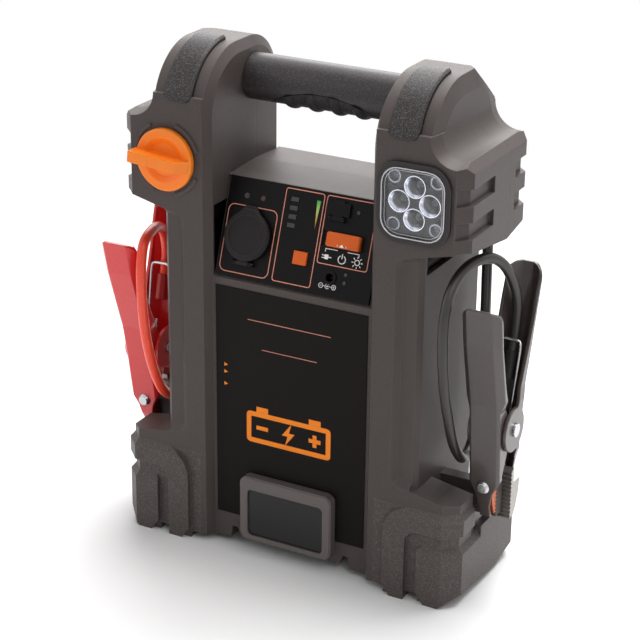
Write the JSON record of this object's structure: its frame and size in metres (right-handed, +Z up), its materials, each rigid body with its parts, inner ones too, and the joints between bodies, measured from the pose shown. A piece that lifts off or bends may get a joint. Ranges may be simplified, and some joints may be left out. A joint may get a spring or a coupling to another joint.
{
  "type": "jump starter pack",
  "caption": "Upright portable jump starter with a carrying handle, tilted control panel, rotary selector, work lamp and cable clamps parked in side bays.",
  "frame": {"origin": "centre of the overall footprint, on the plane the feet stand on", "axes": "+X to the lamp side, +Y to the back, +Z up; the front faces -Y"},
  "size_m": [0.2924, 0.1106, 0.35],
  "materials": {
    "case_plastic": "fine grained warm dark grey moulding",
    "charcoal_plastic": "satin charcoal",
    "dark_rubber": "matt",
    "pad_plastic": "coarse speckled texture",
    "panel_black": "satin black",
    "label_film": "semi-gloss film",
    "badge_grey": "satin grey",
    "badge_black": "gloss black",
    "contact_brass": "bright",
    "bright_steel": "nickel plated",
    "orange_plastic": "gloss orange",
    "switch_plastic": "moulded",
    "clear_lens": "clear",
    "bezel_plastic": "satin grey",
    "reflector_chrome": "vacuum plated",
    "led_yellow": "clear resin over phosphor",
    "board_green": "solder resist",
    "battery_case": "moulded grey",
    "lead_grey": "tinned",
    "strap_steel": "zinc plated",
    "red_cable_jacket": "satin vinyl jacket",
    "black_cable_jacket": "satin vinyl jacket",
    "red_vinyl": "dipped vinyl",
    "black_vinyl": "dipped vinyl",
    "jaw_steel": "plated steel",
    "jaw_copper": "copper plated"
  },
  "bodies": {
    "case": {"front_shell": "case_plastic", "rear_shell": "case_plastic", "handle_bar": "charcoal_plastic", "handle_grip": "dark_rubber", "left_pad": "pad_plastic", "right_pad": "pad_plastic", "control_panel": "panel_black", "front_label": "label_film", "badge_frame": "badge_grey", "badge_plate": "badge_black", "socket_barrel": "panel_black", "socket_contact": "contact_brass", "socket_cap_pin": "bright_steel", "usb_port": "bright_steel", "usb_cover_pin": "bright_steel", "slide_switch": "switch_plastic", "test_switch": "switch_plastic", "panel_board": "board_green", "indicator_lenses": "clear_lens", "charge_jack": "panel_black", "rotary_switch": "switch_plastic", "lamp_bezel": "bezel_plastic", "lamp_lens": "clear_lens", "lamp_reflector": "reflector_chrome", "lamp_leds": "led_yellow", "lamp_board": "board_green", "battery": "battery_case", "battery_terminals": "lead_grey", "battery_bracket": "strap_steel", "main_board": "board_green", "case_screws": "bright_steel", "left_gland": "dark_rubber", "right_gland": "dark_rubber", "left_cable": "red_cable_jacket", "right_cable": "black_cable_jacket", "left_clamp_rear_arm": "red_vinyl", "left_clamp_rear_jaw": "jaw_steel", "left_clamp_pin": "bright_steel", "left_clamp_spring": "bright_steel", "left_cable_lug": "jaw_copper", "right_clamp_rear_arm": "black_vinyl", "right_clamp_rear_jaw": "jaw_steel", "right_clamp_pin": "bright_steel", "right_clamp_spring": "bright_steel", "right_cable_lug": "jaw_copper"},
    "knob": {"rotary_knob": "orange_plastic"},
    "cap": {"socket_cap": "panel_black"},
    "usb_flap": {"usb_cover": "panel_black"},
    "slider": {"slide_knob": "orange_plastic"},
    "button": {"test_button": "orange_plastic"},
    "left_lever": {"left_clamp_front_arm": "red_vinyl", "left_clamp_front_jaw": "jaw_copper", "left_clamp_rivet": "bright_steel"},
    "right_lever": {"right_clamp_front_arm": "black_vinyl", "right_clamp_front_jaw": "jaw_copper", "right_clamp_rivet": "bright_steel"}
  },
  "joints": [
    {"name": "knob_turn", "type": "hinge", "parent": "case", "child": "knob", "pos_m": [-0.089, -0.045, 0.275], "axis": [0, 1, 0], "range_deg": [0, 90]},
    {"name": "socket_cap_hinge", "type": "hinge", "parent": "case", "child": "cap", "pos_m": [-0.0365, -0.03457, 0.21029], "axis": [1, 0, 0], "range_deg": [0, 110]},
    {"name": "usb_cover_hinge", "type": "hinge", "parent": "case", "child": "usb_flap", "pos_m": [0.025, -0.02093, 0.24731], "axis": [1, 0, 0], "range_deg": [0, 110]},
    {"name": "slider_travel", "type": "slide", "parent": "case", "child": "slider", "axis": [1, 0, 0], "range_m": [-0.0035, 0.0035]},
    {"name": "button_press", "type": "slide", "parent": "case", "child": "button", "axis": [0, 0.9426, -0.3338], "range_m": [0, 0.0012], "stiffness_N_per_m": 300, "springref_m": -0.001},
    {"name": "left_clamp_squeeze", "type": "hinge", "parent": "case", "child": "left_lever", "pos_m": [-0.131, 0.00025, 0.1205], "axis": [-1, 0, 0], "range_deg": [0, 8], "stiffness_Nm_per_rad": 1, "springref_deg": -20.05},
    {"name": "right_clamp_squeeze", "type": "hinge", "parent": "case", "child": "right_lever", "pos_m": [0.131, 0.00425, 0.1165], "axis": [-1, 0, 0], "range_deg": [0, 8], "stiffness_Nm_per_rad": 1, "springref_deg": -20.05}
  ]
}
